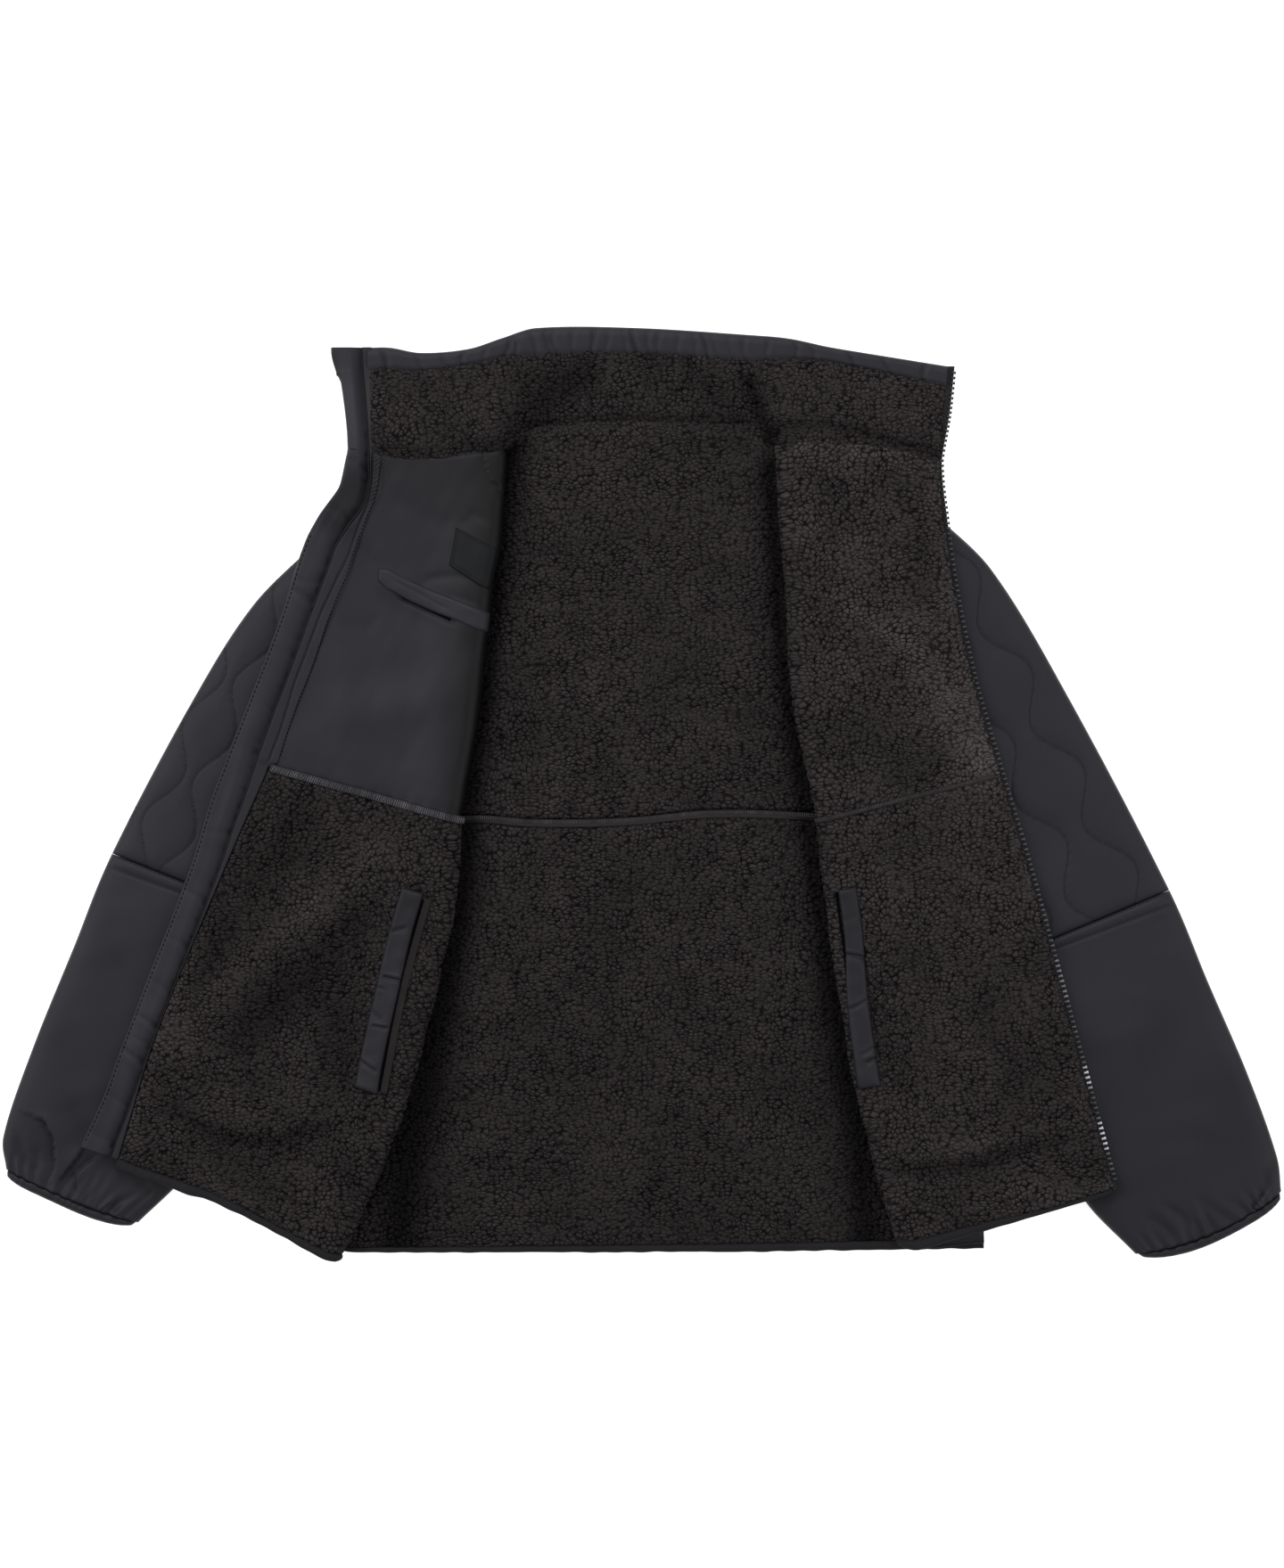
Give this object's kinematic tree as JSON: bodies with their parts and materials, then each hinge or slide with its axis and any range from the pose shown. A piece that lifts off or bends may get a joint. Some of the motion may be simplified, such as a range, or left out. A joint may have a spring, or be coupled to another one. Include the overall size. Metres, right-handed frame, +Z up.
{
  "type": "fleece-lined jacket laid flat and open",
  "caption": "Quilted-sleeve jacket with a knobbly fleece lining, laid on its back with both fronts turned open over the sleeves and the collar spread.",
  "frame": {"origin": "middle of the jacket's footprint, on the surface that it lies on", "axes": "+X toward the wearer's left sleeve, +Y toward the collar, +Z up from the surface that it lies on"},
  "size_m": [0.978, 0.7146, 0.03],
  "materials": {
    "shell": "smooth close-woven nylon with a faint sheen",
    "fleece": "deep knobbly pile, matt",
    "binding": "flat elastic binding, matt",
    "tape": "woven zip tape",
    "patch": "blank soft patch with a stitched border"
  },
  "bodies": {
    "root": {"back_lining_lower": "fleece", "back_lining_upper": "fleece", "back_shell": "shell", "blank_patch": "patch", "chest_welt": "shell", "collar_lining": "fleece", "collar_shell": "shell", "cuff_binding_left": "binding", "cuff_binding_right": "binding", "front_facing_right": "shell", "front_left_lining_lower": "fleece", "front_left_lining_upper": "fleece", "front_left_shell": "shell", "front_right_lining_lower": "fleece", "front_right_lining_upper": "shell", "front_right_shell": "shell", "hem_binding_back": "binding", "hem_binding_left": "binding", "hem_binding_right": "binding", "pocket_welt_left": "shell", "pocket_welt_right": "shell", "sleeve_left_lower": "shell", "sleeve_left_upper": "shell", "sleeve_right_lower": "shell", "sleeve_right_upper": "shell", "storm_flap": "shell", "zip_tape_left": "tape", "zip_tape_right": "tape"}
  },
  "joints": []
}
